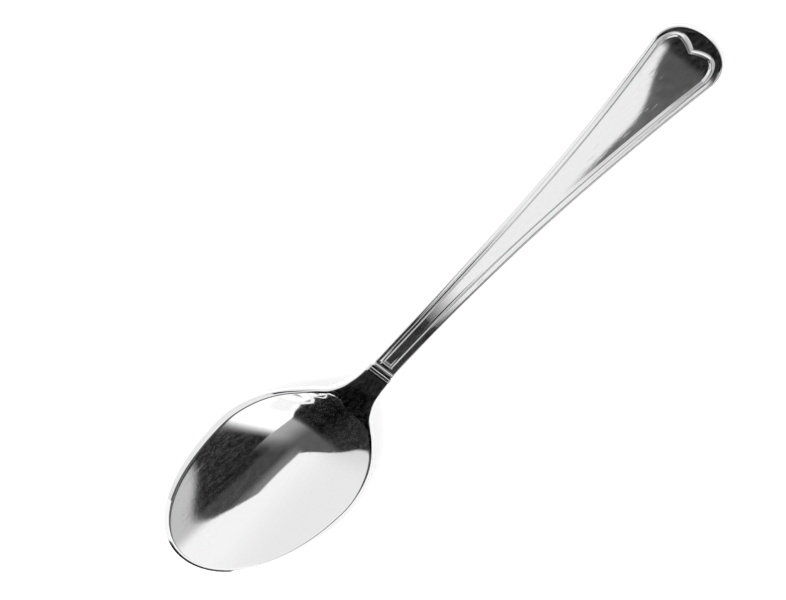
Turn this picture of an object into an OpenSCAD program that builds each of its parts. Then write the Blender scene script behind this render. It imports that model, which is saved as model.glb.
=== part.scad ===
// Teaspoon, pressed from one bar of steel and described here region by region:
// the bowl, the neck, the beaded collar, the stem, and the handle with its raised
// thread that closes in a heart. Neighbouring regions meet face to face.
// The bowl's tip points along -X and the spoon rests on its bowl and on its handle's end.

/* [Overall] */
// Length from the tip of the bowl to the end of the handle
spoon_len = 140; // [132:1:150]

/* [Bowl] */
// Width of the bowl at its widest place
bowl_w = 30.6; // [27:0.2:34]
// Length from the tip to the widest place
bowl_tip_len = 27.7; // [25:0.1:30]
// Length from the widest place to where the two sides of the bowl run out
bowl_neck_len = 19.9; // [18:0.1:21.5]
// Height of the rim above the table at the widest place
rim_h = 5.85; // [5:0.05:8]
// Drop of the rim from the widest place to the tip
tip_drop = 2; // [0:0.02:3]
// Climb of the rim from the widest place to the neck
neck_climb = 1.7; // [0:0.02:2.4]
// Thickness of the bowl's sheet
sheet = 1.1; // [0.8:0.05:1.5]
// Length of the hollow from the widest place to where it fades out in the neck
hollow_len = 22.5; // [20:0.1:24]

/* [Neck] */
// Width of the neck at its narrowest place
neck_w = 5.2; // [4.2:0.1:6.4]
// Width that the neck's fillets add where they meet the bowl
fillet_w = 10.2; // [7:0.1:12]
// Length of the neck from where the bowl's sides run out to the collar
neck_len = 5.8; // [5:0.1:7.2]
// Length over which the fillets fade out
fillet_fade = 2.03; // [1.4:0.01:2.8]
// Height of the neck's sides
neck_side_h = 1.9; // [1.5:0.05:2.3]
// Thickness of the neck in its middle
neck_thick = 2.6; // [2:0.1:3.2]

/* [Collar] */
// Length of the collar
collar_len = 2.8; // [2.2:0.1:3.4]
// Height of the collar's large bead
bead_h = 0.26; // [0.1:0.02:0.4]
// Height of the collar's small bead
small_bead_h = 0.07; // [0.05:0.01:0.25]
// Depth of the groove between the two beads
groove_d = 0.14; // [0.05:0.01:0.25]
// Depth of the notch that the bead leaves in each side
notch_d = 0.12; // [0:0.01:0.2]

/* [Handle] */
// Width of the stem behind the collar
stem_w = 4.85; // [4.4:0.05:5.8]
// Width that the handle's sides reach at the rounded end
handle_w = 13.95; // [12:0.05:16]
// Length of the rounded end
end_len = 6.86; // [5.6:0.02:8]
// Thickness of the handle in its middle line
handle_thick = 2; // [1.6:0.05:2.4]
// Height of the handle's side edges
handle_side_h = 1.05; // [0.85:0.05:1.3]
// Rise of the handle's upper face from its end to the neck
handle_rise = 4.91; // [3.8:0.01:6]
// Sag of the handle's upper face below a straight line
handle_sag = 0.47; // [0:0.01:1.2]
// Height of the wave that the handle's upper face has along it
handle_wave = 0.4; // [0:0.02:0.6]
// Largest radius of the rounded edges
edge_r = 0.6; // [0.4:0.02:0.62]

/* [Thread and heart] */
// Distance of the thread's middle from the handle's side
thread_inset = 1.5; // [1.48:0.01:1.6]
// Width of the thread
thread_w = 0.84; // [0.6:0.02:0.9]
// Height of the thread
thread_h = 0.18; // [0.08:0.01:0.3]
// Distance from the handle's end to the two lobes of the heart
lobe_inset = 3; // [2.4:0.05:3.2]
// Distance from the handle's end to the notch of the heart
heart_notch_inset = 4.1; // [3.5:0.05:4.3]
// Distance between the tops of the two lobes
lobe_gap = 6.5; // [5.6:0.1:7.2]
// Distance that the pressed pattern sits off the middle, towards +Y
pattern_shift = 0.35; // [0:0.05:0.35]

/* [Rest] */
// Depth to which the underside is worn flat where it rests
rest_cut = 0.12; // [0.06:0.01:0.2]

/* [Hidden] */

// Exponents of the bowl's outline in front of and behind the widest place
tip_round = 2.05;
neck_round = 1.6;
// Length on each side of the widest place over which the two outlines blend
round_blend = 6;
// Length behind the widest place over which the hollow changes its curve
hollow_blend = 12;
// Exponent of the rim's line away from the widest place
rim_power = 2.25;
// Flatness of the hollow's walls: 0 is a parabola, and more comes nearer to a cone
wall_flatness = 1.5;
// Half length of the hollow's curve at the widest place, and its last exponent
hollow_reach = 30.6;
hollow_end_power = 1.5;
// Sharpness with which the bowl's sides run into the fillets
join_power = 8;
// Shares of the bowl's neck length where the fillets start and are full
fillet_shares = [0.55, 0.85];
// Length over which the rim's line bends into the handle's line
line_bend = 0.35;
// Distances, back from where the bowl's sides run out, of the fillets' middle and of the neck's plane
// with the bowl, and of the place where the edge starts to thicken
fillet_back = 1.5;
plane_back = 1.6;
thicken_back = 11.6;
// Distances, on from there, of the places where the rim has climbed and where the neck is thickest
climb_on = 2.4;
thick_on = 4.4;
// Exponents of the handle's widening and of its rounded end
widen_power = 2.44;
end_round = 2.07;
// Share of an edge's height that its rounding takes at most
edge_share = 0.46;
// Bevel round the bowl's rim: shares of the side's height for the radius of its crest, for its width and
// for the radius of its outer edge, and its tilt in degrees
crest_share = 0.73;
bevel_width_share = 0.5;
outer_share = 0.23;
bevel_tilt = 28;
// Turn in degrees that each of the bevel's two edges leaves to the flat between them
bevel_gap = 5;
// Shares of the way from the collar to the rounded end where the stem ends and where the handle is lean
stem_share = 0.504;
lean_share = 0.363;

// Derived places along the spoon, from the tip
bowl_len = bowl_tip_len + bowl_neck_len;
fillet_at = bowl_len - fillet_back;
neck_plane = bowl_len - plane_back;
thicken_at = bowl_len - thicken_back;
rim_climb_at = bowl_len + climb_on;
neck_at = bowl_len + thick_on;
collar_at = bowl_len + neck_len;
stem_at = collar_at + collar_len;
end_at = spoon_len - end_len;
handle_at = stem_at + stem_share * (end_at - stem_at);
lean_at = stem_at + lean_share * (end_at - stem_at);

// Places of the collar's beads, groove and notch as shares of its length
small_bead_share = 0.24;
groove_share = 0.5;
bead_share = 0.75;
// Half lengths of the beads, the groove and the notch as shares of the collar's length
small_bead_half_share = 0.13;
groove_half_share = 0.2;
bead_half_share = 0.17;

// Cross profile of the thread: places as shares of its half width, heights as shares of its height
thread_at_shares = [-1.2, -1, -0.6, 0, 0.6, 1, 1.2];
thread_lift_shares = [0, -0.3, 0.64, 1, 0.64, -0.3, 0];
// Place and half length of the bar that closes the threads behind the collar
bar_share = 0.3;
bar_half_share = 0.36;
bar_at = stem_at + thread_inset * bar_share;
bar_half = thread_w * bar_half_share;
// Share of the end's quarter turn at which the thread reaches the top of its lobe
lobe_turn_share = 0.69;

// Counts of mesh steps
tip_turns = 20;
bowl_rows = 17;
bowl_steps = 12;
neck_rows = 7;
collar_rows = 16;
stem_rows = 9;
handle_rows = 18;
end_turns = 14;
panel_steps = 3;
land_steps = 2;
edge_steps = 3;
// Step for measuring an outline's slope, as a share of the spoon's length, and as a turn in degrees
slope_share = 0.0005;
turn_step = 0.5;

// A step from 0 to 1 between a and b with no jump in slope or curvature
function ramp(x, a, b) =
    let (t = max(0, min(1, (x - a) / (b - a))))
    t * t * t * (10 - 15 * t + 6 * t * t);

function mix(a, b, t) = a + (b - a) * t;

// A rounded bump of height 1 at 0 that ends at -1 and 1
function bump(t) = abs(t) >= 1 ? 0 : (1 - t * t) * (1 - t * t);

// Rise of a cross section from 0 in the middle to 1 at the edge: a hyperbola, and its slope at the edge
function rise(s) = (sqrt(1 + pow(wall_flatness * s, 2)) - 1) / (sqrt(1 + pow(wall_flatness, 2)) - 1);
rise_slope = pow(wall_flatness, 2) / (1 + pow(wall_flatness, 2) - sqrt(1 + pow(wall_flatness, 2)));

// Half width of the bowl alone: an ellipse-like curve with its own length and exponent each way
function bowl_half(x) =
    let (
        u = x - bowl_tip_len,
        s = ramp(u, -round_blend, round_blend),
        xi = min(1, abs(u) / mix(bowl_tip_len, bowl_neck_len, s))
    )
    bowl_w / 2 * pow(1 - xi * xi, 1 / mix(tip_round, neck_round, s));

// Half width of the neck with its fillets, and of the widening handle
function neck_half(x) = neck_w / 2 + fillet_w / 2 / (1 + exp((x - fillet_at) / fillet_fade));
function handle_half(x) =
    stem_w / 2 + (handle_w - stem_w) / 2 * pow(max(0, (x - stem_at) / (end_at - stem_at)), widen_power);

// Notch in each side beside the collar's large bead
function notch(x) =
    notch_d * bump((x - collar_at - bead_share * collar_len) / (groove_half_share * collar_len));

function side_half(x) =
    mix(neck_half(x), handle_half(x), ramp(x, collar_at + bead_share * collar_len / 2, stem_at + bar_half))
    - notch(x);

// Half width of the whole spoon at a distance x from the tip
function half_w(x) =
    let (
        start = bowl_tip_len + fillet_shares[0] * bowl_neck_len,
        full = bowl_tip_len + fillet_shares[1] * bowl_neck_len,
        side = side_half(x) * ramp(x, start, full),
        joined = pow(pow(bowl_half(x), join_power) + pow(side, join_power), 1 / join_power),
        e = max(0, min(1, (x - end_at) / end_len))
    )
    joined * sqrt(1 - pow(e, end_round));

// Height of the rim's line, of the handle's line, and of the upper edge that follows the lower one
function rim_line(x) =
    rim_h - tip_drop * pow(max(0, (bowl_tip_len - x) / bowl_tip_len), rim_power)
    + neck_climb * pow(max(0, (x - bowl_tip_len) / (rim_climb_at - bowl_tip_len)), rim_power);
function handle_line(x) =
    let (u = (spoon_len - x) / (spoon_len - neck_at))
    handle_rise * u - 4 * handle_sag * u * (u > 1 ? 0 : 1 - u) + handle_wave * sin(360 * u);
end_h = handle_thick - rest_cut - handle_line(end_at);
function top_h(x) =
    let (
        a = rim_line(x),
        b = end_h + handle_line(x),
        low = min(a, b)
    )
    low - line_bend * ln(exp((low - a) / line_bend) + exp((low - b) / line_bend));

// Share of the bowl's depth that the hollow still has at x
function hollow(x) =
    let (
        u = max(0, x - bowl_tip_len),
        s = ramp(u, 0, hollow_blend),
        xi = min(1, u / mix(hollow_reach, hollow_len, s))
    )
    pow(1 - xi * xi, mix(1, hollow_end_power, s));

// Height of a side edge and thickness in the middle line
function side_h(x) =
    sheet + (neck_side_h - sheet) * ramp(x, thicken_at, neck_at)
    + (handle_side_h - neck_side_h) * ramp(x, collar_at, lean_at);
function mid_thick(x) =
    sheet + (neck_thick - sheet) * ramp(x, thicken_at, neck_at)
    + (handle_thick - neck_thick) * ramp(x, collar_at, lean_at);

// Heights of the middle line above and below
function floor_h(x) = top_h(x) - (rim_h - sheet) * hollow(x);
function under_h(x) = floor_h(x) - mid_thick(x) - rest_cut * hollow(x);

// Outline point, and direction out of it, at a turn of 0 to 90 degrees round the bowl's tip
function tip_point(turn) =
    let (x = bowl_tip_len * (1 - sin(turn)))
    [x, half_w(x)];
function tip_way(turn) =
    turn >= 90 ? [-1, 0] :
    let (t = tip_point(min(90, turn + turn_step)) - tip_point(max(0, turn - turn_step)))
    turn == 0 ? [0, 1] : [t.y, -t.x] / norm(t);

// The same round the handle's end
function end_point(turn) =
    let (x = end_at + end_len * sin(turn))
    [x, half_w(x)];
function end_way(turn) =
    turn >= 90 ? [1, 0] :
    let (t = end_point(min(90, turn + turn_step)) - end_point(max(0, turn - turn_step)))
    turn == 0 ? side_way(end_at) : [-t.y, t.x] / norm(t);

// Direction across the spoon, stretched so that a step along it leaves a slanted side by that distance
function side_way(x) =
    let (
        d = spoon_len * slope_share,
        slope = (half_w(x + d) - half_w(x - d)) / (2 * d)
    )
    [0, sqrt(1 + min(2, slope * slope))];

// Radius of a plain rounded edge, and the rim's edge, which has a bevel along the bowl: the radii of its
// crest and of its outer edge, the distance of its crest from the outline, and its drop to the wall
function edge_radius(x) = min(edge_r, edge_share * side_h(x));
function bevel_at(x) = 1 - ramp(x, bowl_tip_len, bowl_len);
function crest_radius(x) = mix(edge_radius(x), crest_share * side_h(x), bevel_at(x));
function outer_radius(x) = mix(edge_radius(x), outer_share * side_h(x), bevel_at(x));
function bevel_width(x) = bevel_width_share * side_h(x) * bevel_at(x);
function crest_inset(x) =
    outer_radius(x) * (1 - sin(bevel_tilt)) + bevel_width(x) * cos(bevel_tilt)
    + crest_radius(x) * sin(bevel_tilt);
function bevel_drop(x) =
    crest_radius(x) * (1 - cos(bevel_tilt)) + bevel_width(x) * sin(bevel_tilt)
    + outer_radius(x) * cos(bevel_tilt);

// Edge and underside of a half section. They run from the outline point p, with the way w out of the part
// there, to the middle point c, after the upper face has reached the edge
function top_tilt(c, p, w) =
    atan(rise_slope * (top_h(p.x) - floor_h(c.x)) / ((p - c) * w / norm(w) - crest_inset(p.x)));
function under_tilt(c, p, w) =
    atan(rise_slope * (top_h(p.x) - side_h(p.x) - under_h(c.x)) / ((p - c) * w / norm(w) - edge_radius(p.x)));

function edge_arc(p, w, z, r, from, to, steps) =
    [for (k = [0:steps])
        let (
            a = mix(from, to, k / steps),
            q = p - w * r * (1 - cos(a))
        )
        [q.x, q.y, z + r * sin(a)]];
function rim_arcs(c, p, w, lift) =
    let (
        r = crest_radius(p.x),
        z = top_h(p.x) + lift,
        q = p - w * (crest_inset(p.x) - r),
        turn = 90 - bevel_tilt
    )
    concat(
        edge_arc(q, w, z - r, r, 90 + top_tilt(c, p, w), turn + bevel_gap, edge_steps),
        edge_arc(p, w, z - bevel_drop(p.x), outer_radius(p.x), turn - bevel_gap, 0, edge_steps));

function underside(c, p, w, steps) =
    let (
        r = edge_radius(p.x),
        a = under_tilt(c, p, w),
        q = p - w * r * (1 - sin(a)),
        zq = top_h(p.x) - side_h(p.x) + r - r * cos(a)
    )
    [for (k = [steps - 1:-1:0])
        let (
            s = k / steps,
            m = c + (q - c) * s
        )
        [m.x, m.y, max(0, mix(under_h(c.x), zq, rise(s)))]];

// Upper face of a half section without pattern, up to where the edge starts
function plain_top(c, p, w, lift) =
    let (
        r = crest_radius(p.x),
        a = top_tilt(c, p, w),
        q = p - w * (crest_inset(p.x) + r * sin(a)),
        zq = top_h(p.x) - r + r * cos(a)
    )
    [for (k = [0:bowl_steps - 1])
        let (
            s = k / bowl_steps,
            m = c + (q - c) * s
        )
        [m.x, m.y, mix(floor_h(c.x), zq, rise(s)) + lift]];

// Half section from the middle of the upper face, over the edge, to the middle of the underside
function closed_half(top, edge, c, p, w) =
    let (r = edge_radius(p.x))
    concat(
        top,
        edge,
        edge_arc(p, w, top_h(p.x) - side_h(p.x) + r, r, 0, under_tilt(c, p, w) - 90, len(edge) - 1),
        underside(c, p, w, len(top)));

function plain_half(c, p, w, lift = 0) =
    closed_half(plain_top(c, p, w, lift), rim_arcs(c, p, w, lift), c, p, w);
function plain_at(x, lift = 0) = plain_half([x, 0], [x, half_w(x)], side_way(x), lift);

// Thread of the handle: its place beside the outline point, along the sides and round the end, with the
// shift of the pattern towards that side
thread_reach = thread_w / 2 * thread_at_shares[len(thread_at_shares) - 1];
function thread_at(x, shift) = [x, half_w(x) - thread_inset + shift];
function heart_at(turn, shift) =
    let (
        start = thread_at(end_at, 0),
        lobe = [spoon_len - lobe_inset, lobe_gap / 2],
        t = turn / 90,
        first = min(90, turn / lobe_turn_share),
        last = 90 * max(0, (t - lobe_turn_share) / (1 - lobe_turn_share))
    )
    [0, shift] + (t <= lobe_turn_share
        ? [mix(start.x, lobe.x, sin(first)), mix(lobe.y, start.y, cos(first))]
        : [mix(spoon_len - heart_notch_inset, lobe.x, cos(last)), mix(lobe.y, 0, last / 90)]);

// Bar that closes the two threads behind the collar, and how far the threads have grown at x
function bar_lift(x) = thread_h * bump((x - bar_at) / (2 * bar_half));
function thread_grown(x) = ramp(x, bar_at - bar_half, bar_at + bar_half);

// Upper face of a half section from the middle c of the pattern, with the thread at the point t
function thread_top(c, t, p, w) =
    let (
        away = (p - t) / norm(p - t),
        inner = t - away * thread_reach,
        outer = t + away * thread_reach,
        q = p - w * edge_radius(p.x),
        panel = [for (k = [0:panel_steps - 1]) mix(c, inner, k / panel_steps)],
        ridge = [for (s = thread_at_shares) t + away * thread_w / 2 * s],
        land = [for (k = [1:land_steps - 1]) mix(outer, q, k / land_steps)],
        grown = thread_grown(c.x),
        bar = bar_lift(c.x)
    )
    concat(
        [for (m = panel) [m.x, m.y, top_h(m.x) + bar]],
        [for (k = [0:len(ridge) - 1])
            let (
                own = thread_h * thread_lift_shares[k] * grown,
                inside = thread_at_shares[k] <= 0 ? bar : 0
            )
            [ridge[k].x, ridge[k].y, top_h(ridge[k].x) + max(own, inside)]],
        [for (m = land) [m.x, m.y, top_h(m.x)]]);

function thread_half(c, t, p, w, shift) =
    let (r = edge_radius(p.x))
    closed_half(
        thread_top(c + [0, shift], t, p, w),
        edge_arc(p, w, top_h(p.x) - r, r, 90, 0, edge_steps),
        c, p, w);
function thread_row(x, shift) = thread_half([x, 0], thread_at(x, shift), [x, half_w(x)], side_way(x), shift);

// A half section on the +Y side and the mirror image of another on the -Y side as one loop
function loop(half, other) =
    concat(half, [for (k = [len(other) - 2:-1:1]) [other[k].x, -other[k].y, other[k].z]]);

// Solid through half sections, in order along the spoon: rows on the +Y side, others mirrored to the -Y
// side. Rows 0 to fan_end turn round one middle line at the low end, and rows from fan_start on do so at
// the high end
module skin(rows, others, fan_end = -1, fan_start = -1) {
    n = len(rows);
    m = len(rows[0]) - 1;
    size = 2 * m;
    closed_low = fan_end >= 0;
    closed_high = fan_start >= 0;
    function row_of(i) = closed_low && i < fan_end ? fan_end : closed_high && i > fan_start ? fan_start : i;
    function id(i, j) =
        j % m == 0 ? row_of(i) * size + j % size :
        (closed_low && i == 0 || closed_high && i == n - 1) && j > m ? i * size + size - j :
        i * size + j;
    function halves(a, b, c, d) = [[a, b, c], [a, c, d]];
    function cap(i, low) =
        [for (k = [0:m / 2 - 1])
            let (
                t = [k, k + 1, m - k - 1, m - k],
                u = [for (j = t) (size - j) % size],
                p = [for (j = t) i * size + j],
                q = [for (j = u) i * size + j]
            )
            each low
                ? concat(halves(p[3], p[2], p[1], p[0]), halves(q[0], q[1], q[2], q[3]))
                : concat(halves(p[0], p[1], p[2], p[3]), halves(q[3], q[2], q[1], q[0]))];
    sides =
        [for (i = [0:n - 2])
            for (j = [0:size - 1])
                each halves(id(i, j), id(i, (j + 1) % size), id(i + 1, (j + 1) % size), id(i + 1, j))];
    faces = concat(sides, closed_low ? [] : cap(0, true), closed_high ? [] : cap(n - 1, false));
    points = [for (i = [0:n - 1]) each loop(rows[i], others[i])];
    real = [for (f = faces) if (f[0] != f[1] && f[1] != f[2] && f[0] != f[2]) f];
    translate([-spoon_len / 2, 0, 0]) polyhedron(points, real);
}

steel = [0.74, 0.75, 0.76];

// Hollow bowl with its rim, from the tip to the neck's plane
module bowl() {
    middle = [bowl_tip_len, 0];
    tip = [for (k = [tip_turns:-1:0])
        let (turn = 90 * k / tip_turns)
        plain_half(middle, tip_point(turn), tip_way(turn))];
    back = [for (k = [1:bowl_rows]) plain_at(mix(bowl_tip_len, neck_plane, k / bowl_rows))];
    rows = concat(tip, back);
    color(steel) skin(rows, rows, fan_end = tip_turns);
}

// Neck with its two fillets
module neck() {
    rows = [for (k = [0:neck_rows]) plain_at(mix(neck_plane, collar_at, k / neck_rows))];
    color(steel) skin(rows, rows);
}

// Collar: a small bead, a groove and a large bead across the spoon
function collar_lift(x) =
    let (s = (x - collar_at) / collar_len)
    bead_h * bump((s - bead_share) / bead_half_share)
    + small_bead_h * bump((s - small_bead_share) / small_bead_half_share)
    - groove_d * bump((s - groove_share) / groove_half_share);
module collar() {
    rows = [for (k = [0:collar_rows])
        let (x = mix(collar_at, stem_at, k / collar_rows))
        plain_at(x, collar_lift(x))];
    color(steel) skin(rows, rows);
}

// Stem: the bar that closes the threads, then the two threads side by side
module stem() {
    start = [for (s = [-2, -1, -0.5, 0, 0.5, 1, 2]) bar_at + bar_half * s];
    bar_rows = [for (x = start) if (x > stem_at) x];
    first = bar_rows[len(bar_rows) - 1];
    xs = concat([stem_at], bar_rows, [for (k = [1:stem_rows]) mix(first, handle_at, k / stem_rows)]);
    rows = [for (x = xs) thread_row(x, pattern_shift)];
    others = [for (x = xs) thread_row(x, -pattern_shift)];
    color(steel) skin(rows, others);
}

// Handle: it widens, and its threads close in a heart round the panel at the end
function handle_side(shift) =
    concat(
        [for (k = [0:handle_rows]) thread_row(mix(handle_at, end_at, k / handle_rows), shift)],
        [for (k = [1:end_turns])
            let (turn = 90 * k / end_turns)
            thread_half([end_at, 0], heart_at(turn, shift), end_point(turn), end_way(turn), shift)]);
module handle() {
    color(steel) skin(handle_side(pattern_shift), handle_side(-pattern_shift), fan_start = handle_rows);
}

bowl();
neck();
collar();
stem();
handle();
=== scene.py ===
"""Looks of a polished steel teaspoon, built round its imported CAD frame.

Each region of the spoon is a closed grid surface: half a cross section is carried along the
spoon, turned round the bowl's tip and round the handle's end, and mirrored to the other side.
All lengths are in metres, and places along the spoon are measured from the tip of the bowl.
"""

import math

import bpy
import numpy as np
from bpy.props import FloatProperty, FloatVectorProperty, PointerProperty
from mathutils import Matrix, Vector


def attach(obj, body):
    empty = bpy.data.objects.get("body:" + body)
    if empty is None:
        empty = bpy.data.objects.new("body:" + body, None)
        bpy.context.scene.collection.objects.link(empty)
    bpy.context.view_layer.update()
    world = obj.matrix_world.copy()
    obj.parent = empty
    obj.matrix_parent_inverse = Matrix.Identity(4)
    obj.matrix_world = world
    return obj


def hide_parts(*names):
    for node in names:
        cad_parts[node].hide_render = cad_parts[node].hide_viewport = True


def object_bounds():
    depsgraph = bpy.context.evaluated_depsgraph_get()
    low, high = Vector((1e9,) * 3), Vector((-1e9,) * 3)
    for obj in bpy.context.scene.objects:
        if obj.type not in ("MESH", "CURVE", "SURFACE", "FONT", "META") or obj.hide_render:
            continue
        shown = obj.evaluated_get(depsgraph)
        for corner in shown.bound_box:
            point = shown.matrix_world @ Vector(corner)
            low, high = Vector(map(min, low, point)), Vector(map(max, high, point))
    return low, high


bl_info = {
    "name": "Teaspoon",
    "version": (1, 0, 0),
    "blender": (4, 5, 0),
    "location": "3D View > Sidebar > Teaspoon",
    "description": "Builds a polished steel teaspoon with a beaded collar and a threaded handle",
    "category": "Add Mesh",
}

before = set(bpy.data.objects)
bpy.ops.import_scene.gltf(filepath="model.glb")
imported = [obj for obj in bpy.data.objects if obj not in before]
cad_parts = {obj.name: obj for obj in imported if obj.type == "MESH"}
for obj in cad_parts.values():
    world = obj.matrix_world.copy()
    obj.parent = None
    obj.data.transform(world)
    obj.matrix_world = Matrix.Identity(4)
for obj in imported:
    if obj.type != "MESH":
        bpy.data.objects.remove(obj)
cad_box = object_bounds()
SPOON_LEN = cad_box[1][0] - cad_box[0][0]
BOWL_W = cad_box[1][1] - cad_box[0][1]
MM = 0.001
BODY = "root"
PHOTO_SIZE = (786, 600)
SENSOR_WIDTH = 36.0
CLIP_START = 0.01


def length(name, description, default):
    """A length property in metres."""
    return FloatProperty(name=name, description=description, default=default, unit="LENGTH", precision=5)


def number(name, description, default, low=0.0, high=100.0):
    """A plain number property."""
    return FloatProperty(name=name, description=description, default=default, min=low, max=high)


def fineness(name, description, default):
    """A property for the scale of a procedural pattern."""
    return number(name, description, default, 1.0, 20000.0)


def colour(name, description, default):
    """A colour property."""
    return FloatVectorProperty(name=name, description=description, default=default, subtype="COLOR", size=3,
                               min=0.0, max=1.0)


def angle(name, description, degrees):
    """An angle property, given in degrees."""
    return FloatProperty(name=name, description=description, default=math.radians(degrees), subtype="ANGLE")


class SpoonSizes(bpy.types.PropertyGroup):
    """Sizes of the spoon's blank, bowl, neck, collar, handle, thread and heart."""

    spoon_len: length("Length", "From the bowl's tip to the handle's end", SPOON_LEN)
    bowl_w: length("Bowl width", "Width of the bowl at its widest place", BOWL_W)
    bowl_tip_len: length("Bowl front", "From the tip to the widest place", 27.7 * MM)
    bowl_neck_len: length("Bowl back", "From the widest place to where the bowl's sides run out", 19.9 * MM)
    rim_h: length("Rim height", "Height of the rim at the widest place", 5.85 * MM)
    tip_drop: length("Tip drop", "Drop of the rim towards the tip", 2.0 * MM)
    neck_climb: length("Neck climb", "Climb of the rim towards the neck", 1.7 * MM)
    sheet: length("Sheet", "Thickness of the bowl's sheet", 1.1 * MM)
    hollow_len: length("Hollow back", "From the widest place to where the hollow fades out", 22.5 * MM)
    neck_w: length("Neck width", "Width of the neck", 5.2 * MM)
    fillet_w: length("Fillet width", "Width that the fillets add at the bowl", 10.2 * MM)
    neck_len: length("Neck length", "From where the bowl's sides run out to the collar", 5.8 * MM)
    fillet_fade: length("Fillet fade", "Length over which the fillets fade out", 2.03 * MM)
    neck_side_h: length("Neck side", "Height of the neck's sides", 1.9 * MM)
    neck_thick: length("Neck thickness", "Thickness of the neck in its middle", 2.6 * MM)
    collar_len: length("Collar length", "Length of the collar", 2.8 * MM)
    bead_h: length("Large bead", "Height of the large bead", 0.26 * MM)
    small_bead_h: length("Small bead", "Height of the small bead", 0.07 * MM)
    groove_d: length("Groove", "Depth of the groove between the beads", 0.14 * MM)
    notch_d: length("Notch", "Depth of the notch in each side", 0.12 * MM)
    stem_w: length("Stem width", "Width of the stem behind the collar", 4.85 * MM)
    handle_w: length("Handle width", "Width that the sides reach at the rounded end", 13.95 * MM)
    end_len: length("End length", "Length of the rounded end", 6.86 * MM)
    handle_thick: length("Handle thickness", "Thickness of the handle in its middle", 2.0 * MM)
    handle_side_h: length("Handle side", "Height of the handle's side edges", 1.05 * MM)
    handle_rise: length("Handle rise", "Rise of the upper face from the end to the neck", 4.91 * MM)
    handle_sag: length("Handle sag", "Sag of the upper face below a straight line", 0.47 * MM)
    handle_wave: length("Handle wave", "Height of the wave that the upper face has along the handle", 0.4 * MM)
    edge_r: length("Edge radius", "Largest radius of the rounded edges", 0.6 * MM)
    thread_inset: length("Thread inset", "From the side to the middle of the thread", 1.5 * MM)
    thread_w: length("Thread width", "Width of the thread", 0.84 * MM)
    thread_h: length("Thread height", "Height of the thread", 0.18 * MM)
    lobe_inset: length("Lobe inset", "From the handle's end to the heart's lobes", 3.0 * MM)
    heart_notch_inset: length("Heart notch", "From the handle's end to the heart's notch", 4.1 * MM)
    lobe_gap: length("Lobe gap", "Between the tops of the two lobes", 6.5 * MM)
    pattern_shift: length("Pattern shift", "How far the pattern sits off the middle, towards +Y", 0.35 * MM)
    rest_cut: length("Rest flat", "Depth of the worn flats under the spoon", 0.12 * MM)


class SteelLook(bpy.types.PropertyGroup):
    """Colour and finish of the steel."""

    steel: colour("Steel", "Colour of the reflections", (0.80, 0.80, 0.805))
    roughness: number("Roughness", "Roughness of the cleanest polish", 0.02)
    grain_scale: fineness("Grain scale", "Fineness of the polishing grain", 4200.0)
    grain_dullness: number("Grain dullness", "Roughness that the grain adds", 0.02)
    grain_depth: number("Grain depth", "Share of the relief in the grain", 0.12)
    haze: number("Haze", "Most that the haze of finest marks adds, as a share of a full layer", 0.9)
    haze_scale: fineness("Haze scale", "Fineness of the haze's mottle", 1500.0)
    haze_roughness: number("Haze roughness", "Roughness of that haze", 0.4)
    scratch_scale: fineness("Hairline scale", "Fineness of the hairlines", 2400.0)
    scratch_dullness: number("Hairline dullness", "Roughness that the hairlines add", 0.03)
    scratch_depth: number("Hairline depth", "Share of the relief in the hairlines", 0.12)
    patch_scale: fineness("Patch scale", "Fineness of the duller patches", 90.0)
    patch_dullness: number("Patch dullness", "Roughness that the patches add", 0.015)
    relief: FloatProperty(name="Relief", description="Depth of the finish", default=0.006 * MM, precision=8,
                          unit="LENGTH")


class StageLook(bpy.types.PropertyGroup):
    """Camera, ground and light."""

    camera_lean: angle("Lean", "Angle of the view from straight down", 29.28)
    camera_turn: angle("Turn", "Direction towards which the camera leans, from +X to +Y", 43.17)
    camera_roll: angle("Roll", "Turn of the picture about its middle", 178.29)
    camera_far: length("Distance", "From the middle of the spoon to the camera", 0.70)
    pixels_per_metre: number("Pixels per metre", "Size of the spoon in the picture", 5640.0, 1.0, 1e5)
    centre_x: number("Centre x", "Column of pixels where the spoon's middle lies", 437.1, 0.0, PHOTO_SIZE[0])
    centre_y: number("Centre y", "Row of pixels where the spoon's middle lies", 311.4, 0.0, PHOTO_SIZE[1])
    middle_h: length("Middle height", "Height of the spoon's middle over the ground", 3.9 * MM)
    ground: colour("Ground", "Colour of the ground", (0.86, 0.86, 0.86))
    ground_size: length("Ground size", "Side of the ground", 1.6)
    lamp_power: number("Lamp", "Power of the soft lamp in watts", 4.0, 0.0, 1000.0)


# Exponents and blend lengths of the blank's curves
TIP_ROUND = 2.05
NECK_ROUND = 1.6
JOIN_POWER = 8
WIDEN_POWER = 2.44
RIM_POWER = 2.25
END_ROUND = 2.07
HOLLOW_END_POWER = 1.5
# Flatness of the walls: 0 is a parabola, and more comes nearer to a cone
WALL_FLATNESS = 1.5
ROUND_BLEND = 6.0 * MM
HOLLOW_BLEND = 12.0 * MM
HOLLOW_REACH = 30.6 * MM
LINE_BEND = 0.35 * MM
# Distances back and on from where the bowl's sides run out
FILLET_BACK = 1.5 * MM
PLANE_BACK = 1.6 * MM
THICKEN_BACK = 11.6 * MM
CLIMB_ON = 2.4 * MM
THICK_ON = 4.4 * MM
FILLET_SHARES = (0.55, 0.85)
EDGE_SHARE = 0.46
# Bevel round the bowl's rim: shares of the side's height for the radius of its crest, for its width and for the
# radius of its outer edge, its tilt, and the turn that each of its two edges leaves to the flat between them
CREST_SHARE = 0.73
BEVEL_WIDTH_SHARE = 0.5
OUTER_SHARE = 0.23
BEVEL_TILT = math.radians(28.0)
BEVEL_GAP = math.radians(2.0)
STEM_SHARE = 0.504
LEAN_SHARE = 0.363

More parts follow.
